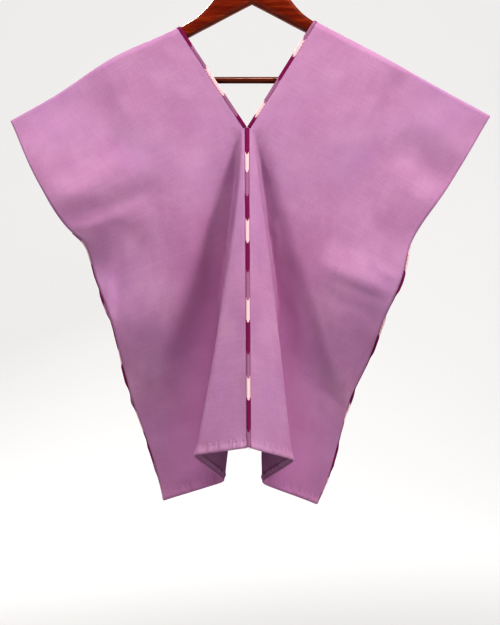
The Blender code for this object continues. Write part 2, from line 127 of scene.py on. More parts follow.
# Creases of the worn cloth: points (distance from seam edge, distance from shoulder fold), half width and
# rise, where minus is a trough
CREASES = {
    ("left", 1): (
        ((150, 4), (158, 22), (168, 44), 14, 1.2),  # over the arm's tip
        ((136, 30), (152, 56), (184, 86), 16, -1.3),
        ((285, 158), (248, 158), (200, 148), (140, 128), 16, 1.7),  # from the underarm across the chest
        ((292, 182), (240, 196), (176, 204), 20, -1.7),
        ((292, 205), (262, 222), (226, 226), 14, 1.2),
        ((262, 300), (276, 322), (288, 350), 8, 2.4),  # wedge beside the side seam
        ((240, 290), (262, 330), (284, 372), 12, -2.6),
        ((84, 190), (110, 240), (150, 310), (212, 372), (276, 430), 26, 4.0),  # long ridge
        ((64, 200), (82, 262), (110, 350), (140, 420), 18, -3.4),
        ((56, 330), (64, 362), (60, 402), 5, -1.5),  # sharp little creases by the crest
        ((74, 350), (86, 376), (92, 408), 6, 1.2),
        ((146, 476), (158, 494), (164, 520), 6, -1.3),
        ((176, 470), (206, 540), (220, 590), 20, 2.2),
        ((236, 440), (262, 500), (280, 560), 16, -2.2),
        ((200, 600), (226, 622), (262, 634), 14, 1.6),
        ((60, 40), (120, 62), (196, 84), 22, -1.4),
        ((230, 24), (262, 60), (286, 92), 16, 1.4),
        ((120, 112), (156, 142), (170, 176), 14, -1.5),
    ),
    ("right", 1): (
        ((140, 14), (152, 44), (176, 96), 15, -1.5),  # below the arm's tip
        ((118, 16), (126, 40), (144, 80), 14, 1.0),
        ((206, 84), (252, 110), (290, 122), 20, -1.2),  # sleeve
        ((196, 116), (246, 146), (290, 160), 20, 1.0),
        ((66, 186), (90, 236), (124, 290), (176, 348), 24, -2.0),  # under the side fold
        ((176, 350), (214, 396), (252, 436), 18, -1.8),
        ((72, 306), (80, 326), (80, 350), 5, -1.4),
        ((88, 300), (98, 326), (102, 352), 7, 1.2),
        ((162, 314), (220, 306), (280, 298), 12, 1.2),  # ridge from the side seam
        ((196, 326), (244, 320), (286, 312), 11, -1.3),
        ((236, 268), (262, 276), (290, 276), 10, 1.4),
        ((140, 380), (176, 440), (200, 520), 24, 2.6),
        ((230, 470), (246, 540), (252, 610), 16, -2.2),
        ((196, 560), (212, 600), (214, 640), 12, 1.5),
        ((96, 60), (108, 112), (104, 150), 20, 1.3),
        ((196, 176), (236, 214), (270, 236), 22, -1.6),
    ),
    ("left", -1): (
        ((150, 8), (162, 30), (176, 60), 14, -2.4),
        ((284, 150), (240, 168), (190, 170), 14, 2.6),
        ((290, 190), (236, 206), (180, 214), 16, -2.4),
        ((84, 196), (130, 280), (196, 360), (262, 420), 24, 3.4),
        ((70, 230), (96, 300), (120, 390), 18, -2.8),
        ((240, 330), (264, 372), (286, 400), 10, -2.0),
        ((190, 480), (212, 550), (224, 610), 20, 2.0),
        ((70, 70), (130, 84), (196, 112), 22, -1.4),
        ((110, 420), (122, 446), (124, 470), 6, -1.3),
    ),
    ("right", -1): (
        ((146, 10), (160, 40), (178, 70), 13, -2.4),
        ((286, 128), (244, 150), (196, 158), 15, 2.4),
        ((288, 168), (240, 186), (190, 190), 14, -2.2),
        ((90, 200), (140, 290), (210, 370), (270, 440), 24, 3.2),
        ((72, 240), (100, 320), (126, 400), 18, -2.6),
        ((246, 300), (266, 330), (288, 350), 10, -1.8),
        ((200, 470), (226, 540), (236, 600), 20, 1.8),
        ((80, 50), (130, 90), (190, 100), 22, 1.3),
        ((100, 400), (112, 430), (112, 452), 6, -1.2),
    ),
}


def spline(table, column, v):
    """Smooth curve through one column of a table whose first column is the place."""
    at = np.array([row[0] for row in table])
    value = np.array([row[column] for row in table])
    slope = np.gradient(value, at)
    i = np.clip(np.searchsorted(at, v, side="right") - 1, 0, len(at) - 2)
    step = at[i + 1] - at[i]
    t = np.clip((v - at[i]) / step, 0.0, 1.0)
    return ((2 * t**3 - 3 * t**2 + 1) * value[i] + (t**3 - 2 * t**2 + t) * step * slope[i]
            + (3 * t**2 - 2 * t**3) * value[i + 1] + (t**3 - t**2) * step * slope[i + 1])


def mix(a, b, t):
    return a + (b - a) * t[..., None]


def smooth(t):
    t = np.clip(t, 0.0, 1.0)
    return t * t * (3.0 - 2.0 * t)


def roll_radius(u):
    """Radius of the fold over the arm, smaller on the free sleeve end."""
    over_arm = ROLL_NECK + (ROLL_TIP - ROLL_NECK) * np.clip(u / ARM_END, 0.0, 1.0)
    return over_arm + (ROLL_SLEEVE - over_arm) * smooth((u - ARM_END + TIP_LEAD) / TIP_BLEND)


def below_neck(v):
    """Share of the way from the V point to the hem."""
    return np.clip((v - NECK) / (LENGTH - NECK), 0.0, 1.0)


def fold_places(side, face, v):
    """Where the crest, valley and side fold lie across the cloth at a distance from the shoulder fold."""
    flute = FLUTE[side, face]
    t = below_neck(v)
    swing = t ** flute["flare"]
    crest = CREST_START + (flute["crest_at"] - CREST_START) * swing
    back = smooth((t - flute["return"]) / (1.0 - flute["return"])) ** 0.8
    step = flute["step"] * t ** 0.75
    valley = crest + (RETURN_START + step) * (1.0 - back) + (flute["valley_at"] - flute["crest_at"]) * back
    run = np.clip((v - NECK) / (flute["fold_end"] - NECK), 0.0, 1.0)
    fold = np.maximum(FOLD_START + (WIDTH - FOLD_START) * run, valley + 4.0)
    return crest, valley, fold, swing, back, run


def flat_cloth(side, face, u, v):
    """Cloth with straight facets between its fold lines, u from the seam edge, v from the fold."""
    flute = FLUTE[side, face]
    radius = roll_radius(u)
    turn = np.minimum(v / radius, math.pi / 2)
    slack = radius * (math.pi / 2 - 1.0)
    drop = radius * (1.0 - np.cos(turn)) + np.maximum(v - radius * math.pi / 2, 0.0)
    out = radius * np.sin(turn)

    place = drop + slack * np.clip(v / ARMHOLE, 0.0, 1.0)
    outer = np.stack([spline(OUTER[side], 1, place), -face * out, spline(OUTER[side], 3, place)], axis=-1)
    wave = spline(OUTER[side], 2, place) - face * spline(OUTER[side], 4, place) * smooth(v / 60.0)
    neck, point, seam = (np.array(p) for p in (NECK_CORNER[side], V_POINT[face], SEAM_END[face]))
    down = np.clip(drop / (NECK - slack), 0.0, 1.0)
    t = below_neck(v)
    inner = mix(neck, point, down)
    inner[..., 1] = -face * out * (1.0 - down) + point[1] * down
    split = (t > 0.0)[..., None]
    inner = np.where(split, mix(point, seam, t), inner)

    crest_u, valley_u, fold_u, swing, back, run = fold_places(side, face, v)
    edge, end = (np.array([spline(OUTER[side], 1, at), -face * ROLL_SLEEVE, spline(OUTER[side], 3, at)])
                 for at in (NECK, flute["fold_end"]))
    start = np.where(split, (edge - point) / WIDTH, (outer - inner) / WIDTH)
    crest = inner + mix(start * CREST_START, np.array(flute["crest"]) - seam, swing)
    side_step = start * RETURN_START + (flute["step"] * t ** 0.75)[..., None] * np.array([0.0, 1.0, 0.0])
    valley = crest + mix(side_step, np.array(flute["valley"]) - np.array(flute["crest"]), back)
    fold = np.where(split, mix(point + start * FOLD_START, end, run), inner + start * FOLD_START)
    fold = np.where((run >= 1.0)[..., None], outer, fold)
    fold[..., :2] += (4.0 * run * (1.0 - run))[..., None] * np.array(flute["fold_bow"])

    first = mix(inner, crest, u / crest_u)
    second = mix(crest, valley, (u - crest_u) / (valley_u - crest_u))
    third = mix(valley, fold, (u - valley_u) / (fold_u - valley_u))
    fourth = mix(fold, outer, (u - fold_u) / np.maximum(WIDTH - fold_u, 0.001))
    beyond = np.where((u < fold_u)[..., None], third, fourth)
    reach = np.minimum(EDGE_REACH, WIDTH - valley_u)
    beyond[..., 1] += wave * smooth((u - WIDTH + reach) / reach)
    cloth = np.where((u < crest_u)[..., None], first, np.where((u < valley_u)[..., None], second, beyond))
    lift = LIFT[side] * smooth(1.0 - np.abs(u - LIFT_AT) / LIFT_AT)
    cloth[..., 2] += lift * smooth(1.0 - v / 200.0)
    return cloth


def relief(side, face, u, v):
    """Height of the soft folds at a place on the cloth."""
    height = np.zeros_like(u)
    for u0, v0, u1, v1, half, rise in SOFT_FOLDS[side, face]:
        along = np.array([u1 - u0, v1 - v0])
        length = np.hypot(*along)
        s = ((u - u0) * along[0] + (v - v0) * along[1]) / length**2
        across = np.abs((u - u0) * along[1] - (v - v0) * along[0]) / length
        ends = smooth(s / 0.3) * smooth((1.0 - s) / 0.3)
        height += rise * smooth(1.0 - across / half) * ends
    return height


def cloth_point(side, face, u, v):
    """Middle surface of the cloth with its folds rounded."""
    u, v = np.broadcast_arrays(np.asarray(u, float), np.asarray(v, float))
    t = below_neck(v)
    valley = fold_places(side, face, v)[1]
    soft = 3.0 + 7.0 * t + 14.0 * smooth((u - valley - 8.0) / 40.0) * smooth((v - FOLDS_FROM) / 70.0)
    across = np.minimum(soft, np.minimum(u, WIDTH - u))
    along = 16.0 * smooth(u / 30.0) * smooth(1.0 - np.abs(v - NECK) / 90.0)
    total, weights = 0.0, 0.0
    for i in (-1.0, -0.5, 0.0, 0.5, 1.0):
        for j in (-1.0, -0.5, 0.0, 0.5, 1.0):
            weight = (1.0 if abs(i) < 1.0 else 0.5) * (1.0 if abs(j) < 1.0 else 0.5)
            total = total + weight * flat_cloth(side, face, u + i * across, np.abs(v + j * along))
            weights += weight
    point = total / weights
    point[..., 1] -= face * relief(side, face, u, v)
    return point


def lattice(seed):
    """Smooth repeating field of chance heights, asked by place in cells."""
    table = np.random.default_rng(seed).uniform(-1.0, 1.0, (64, 64))

    def ask(x, y):
        xi, yi = np.floor(x).astype(int), np.floor(y).astype(int)
        fx, fy = smooth(x - xi), smooth(y - yi)
        a, b = table[xi % 64, yi % 64], table[(xi + 1) % 64, yi % 64]
        c, d = table[xi % 64, (yi + 1) % 64], table[(xi + 1) % 64, (yi + 1) % 64]
        return (a + (b - a) * fx) * (1.0 - fy) + (c + (d - c) * fx) * fy
    return ask


# Fine relief: a share of each crease's rise, and the heights in mm of the waves and of the hem's puckers
CREASE_DEPTH = 0.85
BROAD_RISE = 0.9
SMALL_RISE = 0.28
PUCKER_RISE = 1.15
STITCH_ROW = 641.0
broad_waves, small_waves, pucker_waves, edge_waves = (lattice(seed) for seed in (11, 23, 37, 51))


def crease_height(side, face, u, v):
    """Height of the creases, each fading along its line and to its sides."""
    height = np.zeros_like(u)
    for *points, half, rise in CREASES[side, face]:
        points = np.array(points, float)
        lengths = np.hypot(*np.diff(points, axis=0).T)
        starts = np.concatenate([[0.0], np.cumsum(lengths)])
        nearest, place = np.full_like(u, 1e9), np.zeros_like(u)
        for a, b, length, begin in zip(points, points[1:], lengths, starts):
            s = np.clip(((u - a[0]) * (b[0] - a[0]) + (v - a[1]) * (b[1] - a[1])) / length**2, 0.0, 1.0)
            away = np.hypot(u - a[0] - s * (b[0] - a[0]), v - a[1] - s * (b[1] - a[1]))
            place = np.where(away < nearest, begin + s * length, place)
            nearest = np.minimum(away, nearest)
        t = place / starts[-1]
        swell = np.sin(np.pi * np.clip(0.06 + 0.88 * t, 0.0, 1.0)) ** 0.8
        height += CREASE_DEPTH * rise * swell * np.exp(-((nearest / (half * (0.55 + 0.25 * swell))) ** 2))
    return height


def cloth_height(side, face, u, v):
    """All the fine relief of the cloth outside its broad form."""
    shift = {"left": 0.0, "right": 17.3}[side] + (0.0 if face == 1 else 31.7)
    slant = (u * 0.94 + v * 0.34, v * 0.94 - u * 0.34)
    height = crease_height(side, face, u, v)
    height += BROAD_RISE * broad_waves(slant[0] / 52.0 + shift, slant[1] / 78.0)
    height += SMALL_RISE * small_waves(slant[0] / 17.0, slant[1] / 24.0 + shift)
    height = height * smooth((u - 3.0) / 14.0) * smooth((v - 4.0) / 26.0)
    drawn = np.exp(-(((v - STITCH_ROW) / np.where(v > STITCH_ROW, 10.0, 6.5)) ** 2))
    ripple = pucker_waves(u / 3.0 + 5.0 * shift, v / 40.0) * (0.8 + 0.5 * edge_waves(u / 21.0, v / 60.0))
    return height + PUCKER_RISE * ripple * drawn * smooth((u - 4.0) / 8.0)


def unit(vectors):
    return vectors / np.maximum(np.linalg.norm(vectors, axis=-1, keepdims=True), 1e-9)


def grid_normals(points, side, face):
    """Unit normals of a grid whose rows go down the cloth and columns away from the seam."""
    outward = face * (1.0 if side == "left" else -1.0)
    return unit(np.cross(np.gradient(points, axis=1), np.gradient(points, axis=0)) * outward)


def surface(side, face, u, v):
    """Points of the finished cloth on a grid."""
    points = cloth_point(side, face, u, v)
    tall = cloth_height(side, face, u, v) * smooth((WIDTH - u) / 12.0)
    return points + grid_normals(points, side, face) * tall[..., None]


# Helpers for the meshes
def add_object(name, data):
    obj = bpy.data.objects.new(name, data)
    bpy.context.scene.collection.objects.link(obj)
    return obj


def signed_volume(mesh):
    co = np.zeros(len(mesh.vertices) * 3)
    mesh.vertices.foreach_get("co", co)
    mesh.calc_loop_triangles()
    tri = np.zeros(len(mesh.loop_triangles) * 3, int)
    mesh.loop_triangles.foreach_get("vertices", tri)
    a, b, c = co.reshape(-1, 3)[tri.reshape(-1, 3).T]
    return float(np.einsum("ij,ij->", a, np.cross(b, c)))


def mesh_object(name, verts, faces, material, uvs=None):
    """Smooth mesh in metres with its faces turned outward and, where given, a map of places on the cloth."""
    mesh = bpy.data.meshes.new(name)
    mesh.from_pydata(np.asarray(verts, float).tolist(), [], [tuple(int(i) for i in f) for f in faces])
    mesh.update()
    if uvs is not None:
        layer = mesh.uv_layers.new(name="cloth")
        index = np.zeros(len(mesh.loops), int)
        mesh.loops.foreach_get("vertex_index", index)
        layer.data.foreach_set("uv", np.reshape(uvs, (-1, 2))[index].ravel())
    mesh.materials.append(material)
    mesh.polygons.foreach_set("use_smooth", [True] * len(mesh.polygons))
    if signed_volume(mesh) < 0.0:
        mesh.flip_normals()
    return add_object(name, mesh)


def wall_mesh(name, points, normals, half, material, uvs):
    """Closed cloth of even thickness through a grid of points in mm."""
    index = np.arange(points[..., 0].size).reshape(points.shape[:2])
    quads = np.stack([index[:-1, :-1], index[:-1, 1:], index[1:, 1:], index[1:, :-1]], axis=-1).reshape(-1, 4)
    rim = np.concatenate([index[0], index[1:, -1], index[-1, -2::-1], index[-2:0:-1, 0]])
    after = np.roll(rim, -1)
    band = np.stack([after, rim, rim + index.size, after + index.size], axis=-1)
    faces = np.concatenate([quads, quads[:, ::-1] + index.size, band])
    verts = np.stack([points + normals * half, points - normals * half]) * MM
    return mesh_object(name, verts.reshape(-1, 3), faces, material, np.stack([uvs, uvs]))


def tube_faces(count, corners):
    """Sides and ends of a closed tube of rings."""
    index = np.arange(count * corners).reshape(count, corners)
    after = np.roll(index, -1, axis=1)
    sides = np.stack([index[:-1], after[:-1], after[1:], index[1:]], axis=-1).reshape(-1, 4)
    return sides.tolist() + [index[0, ::-1].tolist(), index[-1].tolist()]


def loop_mesh(name, rings, material, uvs=None):
    """Closed tube through rings of points in mm, each ring going once round."""
    rings = np.asarray(rings, float)
    return mesh_object(name, rings.reshape(-1, 3) * MM, tube_faces(*rings.shape[:2]), material, uvs)


def round_rings(path, one, two, radius, corners):
    """Round rings along a path, in the plane of two directions."""
    angles = 2 * np.pi * np.arange(corners)[:, None] / corners
    return path[:, None] + radius * (one[:, None] * np.cos(angles) + two[:, None] * np.sin(angles))


def rounded_end(ring, outward, steps):
    """Rings that close a tube's end, each a share of the last one and moved outward."""
    centre = ring.mean(axis=0)
    return [centre + (ring - centre) * share + outward * away for share, away in steps]


def squared_circle(corners, power, turn=0.0):
    """Cosines and sines once round a circle, squared off by a power below 1."""
    angles = 2 * np.pi * (np.arange(corners) + turn) / corners
    return (np.sign(wave) * np.abs(wave) ** power for wave in (np.cos(angles), np.sin(angles)))


def stitch(a, b, out, radius, rise, corners=4, steps=4):
    """Rings of a short thread from a to b, thickest and furthest out in the middle."""
    side = unit(np.cross(unit(b - a), out))
    angles = 2 * np.pi * np.arange(corners)[:, None] / corners
    t = np.arange(steps)[:, None, None] / (steps - 1)
    swell = np.sin(np.pi * t)
    round_it = (side * np.cos(angles) + out * np.sin(angles)) * radius * (0.55 + 0.45 * swell)
    return a + (b - a) * t + out * rise * swell + round_it


def thread_mesh(name, stitches, material):
    """One mesh of many stitches, each given as its rings."""
    rings = np.array(stitches)
    each = rings.shape[1] * rings.shape[2]
    one = tube_faces(*rings.shape[1:3])
    faces = [[i + k * each for i in face] for k in range(len(rings)) for face in one]
    return mesh_object(name, rings.reshape(-1, 3) * MM, faces, material)


# Materials
class Nodes:
    """Short way to write a material's nodes."""

    def __init__(self, name):
        self.material = bpy.data.materials.new(name)
        self.material.use_nodes = True
        self.tree = self.material.node_tree
        self.shader = self.tree.nodes["Principled BSDF"]

    def add(self, kind, inputs=None, **settings):
        node = self.tree.nodes.new("ShaderNode" + kind)
        for key, value in settings.items():
            setattr(node, key, value)
        for key, value in (inputs or {}).items():
            self.put(node.inputs[key], value)
        return node

    def put(self, socket, value):
        if isinstance(value, bpy.types.NodeSocket):
            self.tree.links.new(value, socket)
        else:
            socket.default_value = value

    def math(self, operation, *values):
        node = self.add("Math", operation=operation)
        for socket, value in zip(node.inputs, values):
            self.put(socket, value)
        return node.outputs[0]

    def total(self, *fields):
        """Sum of fields, each times its weight."""
        weighted = [self.math("MULTIPLY", field, weight) for field, weight in fields]
        result = weighted[0]
        for field in weighted[1:]:
            result = self.math("ADD", result, field)
        return result

    def colour(self, factor, a, b):
        node = self.add("Mix", {0: factor}, data_type="RGBA")
        for socket, value in ((node.inputs[6], a), (node.inputs[7], b)):
            self.put(socket, (*value, 1.0) if isinstance(value, tuple) else value)
        return node.outputs[2]

    def ramp(self, factor, stops, interpolation="LINEAR"):
        """Colour by a factor, from stops of (position, colour)."""
        node = self.add("ValToRGB", {"Fac": factor})
        node.color_ramp.interpolation = interpolation
        elements = node.color_ramp.elements
        elements.remove(elements[-1])
        elements[0].position = stops[0][0]
        elements[0].color = (*stops[0][1], 1.0)
        for position, colour in stops[1:]:
            elements.new(position).color = (*colour, 1.0)
        return node.outputs[0]

    def stretch(self, value, low, high, to_low=0.0, to_high=1.0, interpolation="LINEAR"):
        """A value's range from low to high, stretched to another one and held at its ends."""
        node = self.add("MapRange", {"Value": value, "From Min": low, "From Max": high, "To Min": to_low,
                                     "To Max": to_high}, interpolation_type=interpolation)
        return node.outputs[0]

    def on_cloth(self):
        """Place on the cloth in metres, from its own map."""
        return self.add("UVMap", uv_map="cloth").outputs[0]

    def in_space(self):
        """Place in the object's space in metres."""
        return self.add("TexCoord").outputs["Object"]

    def noise(self, where, cells, detail=2.0, roughness=0.5):
        """Noise with so many cells a metre, alike in all directions or different along x, y and z."""
        if isinstance(cells, tuple):
            where = self.add("Mapping", {"Vector": where, "Scale": cells}).outputs[0]
            cells = 1.0
        return self.add("TexNoise", {"Vector": where, "Scale": cells, "Detail": detail,
                                     "Roughness": roughness}).outputs["Fac"]

    def split(self, vector):
        return self.add("SeparateXYZ", {"Vector": vector}).outputs

    def ribs(self, place, pitch):
        """Height of rounded threads side by side."""
        return self.math("ABSOLUTE", self.math("SINE", self.math("MULTIPLY", place, math.pi / pitch)))

    def bump(self, height, distance, strength, before=None):
        node = self.add("Bump", {"Height": height, "Distance": distance, "Strength": strength})
        if before is not None:
            self.put(node.inputs["Normal"], before)
        return node.outputs[0]

    def shade(self, **inputs):
        for key, value in inputs.items():
            self.put(self.shader.inputs[key.replace("_", " ")], value)
        return self.material


def weave(n, across, down, pitch):
    """Height of a plain weave: threads over and under by turns."""
    turns = [n.math("COSINE", n.math("MULTIPLY", place, math.pi / pitch)) for place in (across, down)]
    over = n.math("GREATER_THAN", n.math("MULTIPLY", *turns), 0.0)
    warp = n.math("MULTIPLY", over, n.ribs(across, pitch))
    weft = n.math("MULTIPLY", n.math("SUBTRACT", 1.0, over), n.ribs(down, pitch))
    return n.math("ADD", warp, weft)


# Distances between threads, and where a tape's darkened edge begins, in metres; the darkened edge is dark
# edge threads with a painted seam shadow
COTTON_THREAD = 0.00085
TAPE_THREAD = 0.00055
TAPE_PICK = 0.0008
TAPE_SHADED_EDGE = 0.00315
FADED_DYE = (0.425, 0.255, 0.465)
# colour of the painted shade in the wedge beside the flute
FOLD_SHADE_COLOUR = (0.400, 0.148, 0.312)
PALE_FLECK = (0.80, 0.52, 0.76)


def cotton_material(name, light, dark):
    """Handwoven lilac cotton with slubs along both threads, a faint fading and painted shade in the wedge
    beside the flute.
    """
    n = Nodes(name)
    where = n.on_cloth()
    x, y, _ = n.split(where)
    slubs = n.math("ADD", n.noise(where, (1100.0, 60.0, 1.0)), n.noise(where, (60.0, 1100.0, 1.0)))
    streaks = n.noise(where, (7.0, 240.0, 1.0), 3.0, 0.6)
    clouds = n.noise(where, (16.0, 12.0, 1.0), 4.0, 0.55)
    grain = n.noise(where, (430.0, 390.0, 1.0), 2.0, 0.7)
    long_weft = n.noise(where, (34.0, 430.0, 1.0), 2.0, 0.6)
    long_warp = n.noise(where, (430.0, 34.0, 1.0), 2.0, 0.6)
    tone = n.total((clouds, 0.41), (streaks, 0.10), (long_weft, 0.06), (long_warp, 0.09), (grain, 0.18),
                   (slubs, 0.08))
    base = n.colour(n.stretch(tone, 0.40, 0.60), dark, light)
    drift = n.noise(where, (7.0, 5.0, 1.0))
    base = n.colour(n.stretch(drift, 0.42, 0.70, 0.0, 0.34), base, FADED_DYE)
    # painted shade: the colour turns darker and deeper in the wedge of cloth that hangs folded back beside
    # the flute, where the fold's shade falls
    drop = n.math("ABSOLUTE", y)
    middle = n.math("SUBTRACT", n.math("MULTIPLY", drop, 0.37), 0.016)
    away = n.math("ABSOLUTE", n.math("SUBTRACT", x, middle))
    away = n.math("DIVIDE", away, n.math("MULTIPLY", drop, 0.17))
    inside = n.stretch(away, 1.15, 0.15, 0.0, 0.55, "SMOOTHSTEP")
    below = n.stretch(drop, 0.20, 0.42, interpolation="SMOOTHSTEP")
    base = n.colour(n.math("MULTIPLY", inside, below), base, FOLD_SHADE_COLOUR)
    fleck = n.noise(where, (900.0, 900.0, 1.0), 1.0)
    base = n.colour(n.math("MULTIPLY", fleck, 0.16), base, PALE_FLECK)
    normal = n.bump(weave(n, x, y, COTTON_THREAD), 0.00016, 0.55)
    normal = n.bump(n.math("ADD", slubs, n.math("MULTIPLY", long_weft, 0.8)), 0.0004, 0.45, normal)
    return n.shade(Base_Color=base, Roughness=0.9, Normal=normal, Sheen_Weight=0.12, Sheen_Roughness=0.4,
                   Sheen_Tint=(0.95, 0.66, 0.90, 1.0), Specular_IOR_Level=0.12)


# Ikat charts: where each block of colour starts, in mm along the tape, and its colour's letter
CHARTS = {
    "centre_front": "0m 42p 70v 108m 146p 179m 224v 264p 296m 342v 375p 406m 449v",
    "centre_back": "0m 38v 74p 104m 146v 182p 214m 256v 290p 322m 364v 398p 430m",
    # the neck's run from the back V point over the shoulder to the front one
    "neck_left": "0m 24p 56v 92m 132p 150m 222v 260p 305v 340m",
    "neck_right": "0m 22v 60p 92m 134v 160m 186v 218p 245m 284v 320p 343m",
    "side_left": "0v 26p 64m 128v 158m 196p 222m 262v 296p 330m 380v 410p",
    "side_right": "0p 42m 92v 122p 148m 196v 226m 262p 292v 326m 380p 408v",
}
# Magenta, mauve and pink
CHART_COLOURS = {"m": (0.223, 0.002, 0.095), "v": (0.380, 0.183, 0.298), "p": (0.874, 0.626, 0.639)}


def tape_material(chart, total):
    """Resist-dyed tape: blocks of colour along it with pointed, thread-by-thread ends, and an edge darkened
    by its edge threads and by painted seam shadow.
    """
    n = Nodes(f"ikat_{chart}")
    cloth = n.on_cloth()
    along, across, _ = n.split(cloth)
    thread = n.math("FLOOR", n.math("DIVIDE", across, TAPE_THREAD))
    chance = n.add("TexWhiteNoise", {"W": thread}, noise_dimensions="1D").outputs[0]
    ragged = n.math("MULTIPLY", n.math("SUBTRACT", chance, 0.5), 0.0030)
    pointed = n.math("MULTIPLY", n.math("ABSOLUTE", across), 1.55)
    where = n.math("ADD", n.math("ADD", along, pointed), ragged)
    stops = [(int(block[:-1]) / total, CHART_COLOURS[block[-1]]) for block in CHARTS[chart].split()]
    dyed = n.ramp(n.math("DIVIDE", where, total * MM), stops, "CONSTANT")
    # painted shadow: the tape's edge is darkened for its dark edge threads and for the shade in the seam
    # beside it
    edge = n.math("GREATER_THAN", n.math("ABSOLUTE", across), TAPE_SHADED_EDGE)
    base = n.colour(n.math("MULTIPLY", edge, 0.75), dyed, (0.090, 0.022, 0.075))
    fuzz = n.noise(cloth, (300.0, 1800.0, 1.0))
    base = n.colour(n.math("MULTIPLY", fuzz, 0.16), base, (0.42, 0.16, 0.30))
    picks = n.math("MULTIPLY", n.ribs(along, TAPE_PICK), 0.5)
    normal = n.bump(n.math("ADD", n.ribs(across, TAPE_THREAD), picks), 0.00022, 0.7)
    return n.shade(Base_Color=base, Roughness=0.8, Normal=normal, Sheen_Weight=0.08, Sheen_Roughness=0.4,
                   Specular_IOR_Level=0.2)


def thread_material(name, colour):
    """Twisted sewing thread."""
    n = Nodes(name)
    twist = n.noise(n.in_space(), 2200.0, 1.0)
    base = n.colour(n.math("MULTIPLY", twist, 0.5), colour, tuple(c * 0.6 for c in colour))
    return n.shade(Base_Color=base, Roughness=0.7, Normal=n.bump(twist, 0.0001, 0.5), Sheen_Weight=0.2)


# The wood's stain along its grain, from its dark lines to its light ones
STAIN = ((0.40, (0.150, 0.015, 0.003)), (0.53, (0.220, 0.030, 0.005)), (0.66, (0.320, 0.070, 0.013)))


def wood_material(name, shade):
    """Red-brown stained and lacquered wood, grain along x; a shade below 1 darkens the whole stain as painted
    shade.
    """
    n = Nodes(name)
    where = n.in_space()
    bands = n.noise(where, (9.0, 150.0, 150.0), 4.0, 0.6)
    pores = n.noise(where, (26.0, 900.0, 900.0), 3.0, 0.6)
    stops = [(position, tuple(c * shade for c in colour)) for position, colour in STAIN]
    base = n.ramp(n.total((bands, 0.7), (pores, 0.3)), stops)
    return n.shade(Base_Color=base, Roughness=n.stretch(pores, 0.0, 1.0, 0.30, 0.46),
                   Normal=n.bump(pores, 0.00008, 0.2), Coat_Weight=0.28, Coat_Roughness=0.10,
                   Specular_IOR_Level=0.25)


def steel_material():
    """Drawn steel wire."""
    n = Nodes("hook_wire_steel")
    drawn = n.noise(n.in_space(), (500.0, 500.0, 90.0), 3.0)
    base = n.colour(drawn, (0.52, 0.52, 0.54), (0.72, 0.72, 0.73))
    return n.shade(Base_Color=base, Roughness=n.stretch(drawn, 0.0, 1.0, 0.18, 0.36), Metallic=1.0,
                   Normal=n.bump(drawn, 0.00005, 0.3))


cotton = cotton_material("lilac_cotton_weave", (0.515, 0.304, 0.446), (0.422, 0.214, 0.360))
# the hem's copy of the cotton is lighter throughout: painted light for the brighter band along the turned hem
lit_hem_cotton = cotton_material("lilac_cotton_hem", (0.550, 0.328, 0.474), (0.462, 0.242, 0.388))
hem_thread = thread_material("hem_thread", (0.66, 0.34, 0.58))
seam_thread = thread_material("seam_thread", (0.16, 0.03, 0.12))
knot_thread = thread_material("knot_thread", (0.80, 0.62, 0.68))
yoke_wood = wood_material("lacquered_wood", 1.0)
# the bar's copy of the wood is darkened to 0.60: painted shade for the shadow the bar hangs in behind the
# front cloth
shaded_bar_wood = wood_material("dark_lacquered_wood", 0.60)
steel = steel_material()

# Camera, floor and light
FLOOR = -1.35
BEND_START = 2.2
BEND_RADIUS = 1.2
BACKDROP_TOP = 3.5
BACKDROP_GLOW = 0.48

camera = bpy.data.cameras.new("camera")
camera.lens = 59.18
camera.sensor_width = 36.0
camera_object = add_object("camera", camera)
camera_object.location = (-0.0029, -1.5, -0.5621)
camera_object.rotation_euler = (math.pi / 2, 0.0, 0.0)
bpy.context.scene.camera = camera_object


def make_floor():
    """Pale floor that curves up into a pale backdrop far behind, brighter with distance."""
    profile = [(-6.0, FLOOR), (0.4, FLOOR), (1.4, FLOOR), (BEND_START, FLOOR)]
    for a in np.linspace(0.1, math.pi / 2, 16):
        profile.append((BEND_START + BEND_RADIUS * math.sin(a), FLOOR + BEND_RADIUS * (1 - math.cos(a))))
    profile.append((BEND_START + BEND_RADIUS, BACKDROP_TOP))
    verts = [(x, y, z) for x in (-6.0, 6.0) for y, z in profile]
    count = len(profile)
    faces = [(k, k + 1, count + k + 1, count + k) for k in range(count - 1)]
    n = Nodes("pale_floor")
    where = n.in_space()
    mottle = n.math("MULTIPLY", n.noise(where, 1.6, 3.0), 0.5)
    base = n.colour(mottle, (0.235, 0.234, 0.232), (0.215, 0.214, 0.212))
    away = n.add("VectorMath", {0: where}, operation="LENGTH").outputs["Value"]
    glow = n.stretch(away, 0.4, 2.7, 0.0, BACKDROP_GLOW, "SMOOTHSTEP")
    n.shade(Base_Color=base, Roughness=0.9, Normal=n.bump(n.noise(where, 60.0, 3.0), 0.002, 0.2),
            Specular_IOR_Level=0.1, Emission_Color=(0.985, 0.98, 0.975, 1.0), Emission_Strength=glow)
    mesh_object("floor", verts, faces, n.material)


# Lights: place, height of the target on the blouse's middle, size in m, power in W, blue
LIGHTS = {
    "key_top": ((0.25, -1.6, 2.7), -0.5, 1.0, 76.0, 0.96),
    "key_right": ((2.6, -1.9, 1.6), -0.55, 0.9, 65.0, 0.96),
    "key_left": ((-2.6, -1.9, 1.6), -0.55, 0.9, 41.0, 0.96),
    "back_light": ((-0.9, 2.2, 1.0), -0.5, 1.1, 64.0, 0.98),
}


